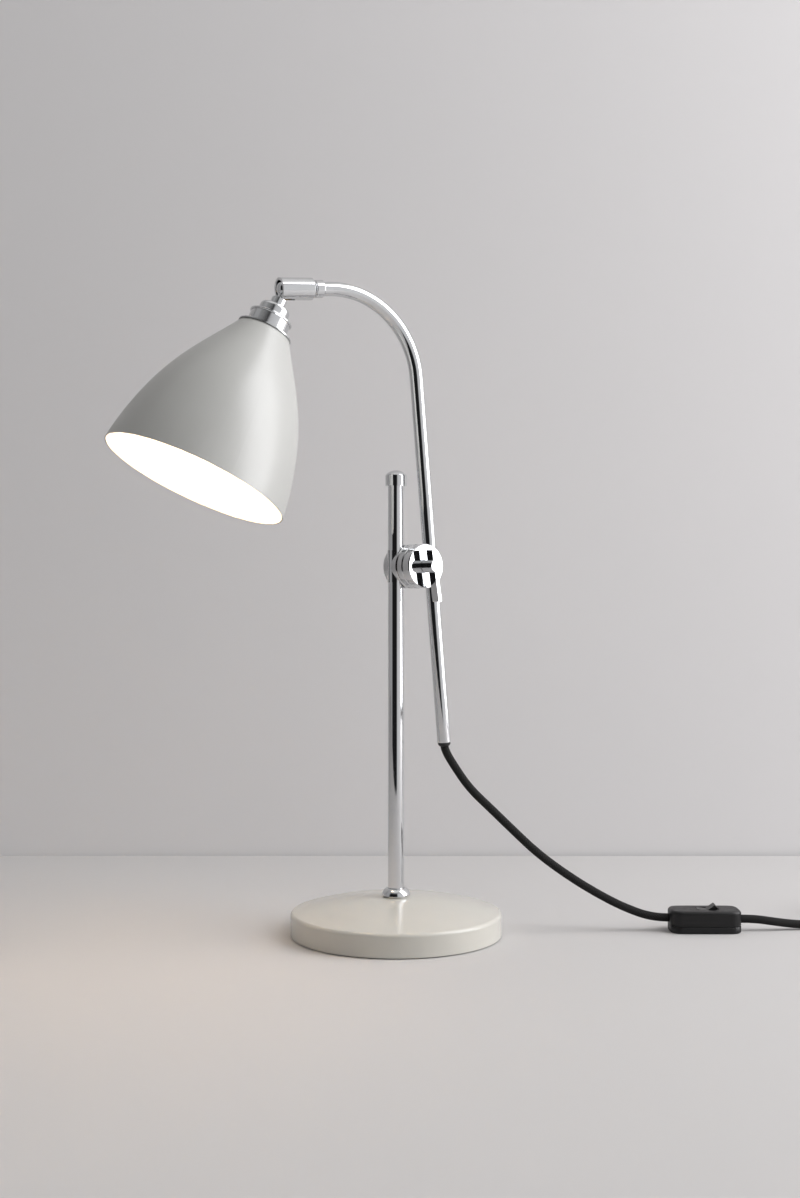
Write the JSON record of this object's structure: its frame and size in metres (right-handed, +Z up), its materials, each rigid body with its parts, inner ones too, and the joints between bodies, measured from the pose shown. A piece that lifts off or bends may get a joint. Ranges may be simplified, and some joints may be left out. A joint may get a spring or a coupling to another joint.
{
  "type": "task lamp",
  "caption": "Table task lamp: weighted round base, chromed column, twin disc clamp, bent sliding arm and bell shade on a ball joint, with braided flex, in-line switch and plug.",
  "frame": {"origin": "centre of the felt pad's underside, on the table, on the column's axis", "axes": "+Z up along the column; +X to the side where the in-line switch lies; +Y away from a viewer in front of the lamp"},
  "size_m": [0.6944, 0.2827, 0.5024],
  "materials": {
    "base_paint": "gloss enamel",
    "shade_paint": "gloss enamel, white inside",
    "chrome": "polished plating",
    "iron": "as cast",
    "felt": "felt",
    "steel": "plain zinc-plated steel",
    "fibre": "pressed fibre",
    "rubber": "moulded",
    "flex": "woven braid",
    "brass": "turned",
    "insulator": "glazed insulator",
    "bulb_glass": "frosted",
    "bulb_metal": "rolled thread",
    "switch_plastic": "moulded",
    "plug_plastic": "moulded"
  },
  "bodies": {
    "stand": {"base_cover": "base_paint", "base_weight": "iron", "base_pad": "felt", "column_washer": "steel", "column_nut": "steel", "column_collar": "chrome", "switch_cover": "switch_plastic", "switch_base": "switch_plastic", "switch_screws": "steel", "switch_contacts": "brass", "cord_drop": "flex", "cord_lead": "flex", "cord_coil": "flex", "cord_tail": "flex", "cord_tie": "rubber", "plug_cover": "plug_plastic", "plug_base": "plug_plastic", "plug_line_pins": "brass", "plug_earth_pin": "brass", "plug_screw": "steel", "plug_fuse": "insulator"},
    "column": {"column": "chrome", "column_cap": "chrome"},
    "clamp": {"rear_clamp_disc": "chrome", "column_clamp_disc": "chrome", "column_liner": "chrome", "friction_washer": "fibre", "tie_bolt": "chrome"},
    "arm_clamp": {"arm_clamp_disc": "chrome", "front_clamp_disc": "chrome"},
    "arm_liner": {"arm_liner": "chrome"},
    "arm": {"arm_tube": "chrome", "arm_flex": "flex", "arm_end_bush": "rubber", "arm_ferrule": "chrome", "arm_retainer": "steel"},
    "socket": {"socket_tube": "chrome", "socket_spring": "steel", "ball_cup": "brass"},
    "head": {"ball_stem": "chrome", "head_flex": "flex", "lampholder_cap": "chrome", "lampholder_flange": "chrome", "lampholder_skirt": "chrome", "lampholder_core": "insulator", "shade_seat_ring": "chrome", "shade_nut": "chrome", "shade": "shade_paint", "bulb_glass": "bulb_glass", "bulb_cap": "bulb_metal", "bulb_contact": "brass"},
    "clamp_lever": {"clamp_lever": "chrome"},
    "rocker": {"switch_rocker": "switch_plastic"}
  },
  "joints": [
    {"name": "clamp_turn", "type": "hinge", "parent": "stand", "child": "column", "pos_m": [0, 0, 0], "axis": [0, 0, 1], "range_deg": [-45, 45], "deforming": ["cord_drop"]},
    {"name": "clamp_height", "type": "slide", "parent": "column", "child": "clamp", "axis": [0, 0, 1], "range_m": [-0.055, 0.044], "deforming": ["cord_drop"]},
    {"name": "arm_tilt", "type": "hinge", "parent": "clamp", "child": "arm_clamp", "pos_m": [0.00827, 0.00646, 0.288], "axis": [0.6157, -0.788, 0], "range_deg": [-20, 20], "deforming": ["cord_drop"]},
    {"name": "arm_slide", "type": "slide", "parent": "arm_clamp", "child": "arm_liner", "axis": [0.0769, 0.0601, -0.9952], "range_m": [-0.08, 0.015], "deforming": ["cord_drop"]},
    {"name": "arm_roll", "type": "hinge", "parent": "arm_liner", "child": "arm", "pos_m": [0.02712, 0.00012, 0.28907], "axis": [-0.0769, -0.0601, 0.9952], "range_deg": [-150, 150], "deforming": ["cord_drop"]},
    {"name": "head_swivel", "type": "hinge", "parent": "arm", "child": "socket", "pos_m": [-0.08219, -0.06412, 0.49198], "axis": [-0.8709, -0.4819, -0.0964], "range_deg": [-75, 75]},
    {"name": "head_tilt", "type": "hinge", "parent": "socket", "child": "head", "pos_m": [-0.08219, -0.06412, 0.49198], "axis": [-0.4854, 0.8742, 0.0153], "range_deg": [-28, 50]},
    {"name": "lever_turn", "type": "hinge", "parent": "clamp", "child": "clamp_lever", "pos_m": [0.02354, -0.01308, 0.288], "axis": [0.6157, -0.788, 0], "range_deg": [0, 180]},
    {"name": "rocker_press", "type": "hinge", "parent": "stand", "child": "rocker", "pos_m": [0.2464, 0.0125, 0.0142], "axis": [0, 1, 0], "range_deg": [0, 30]}
  ]
}
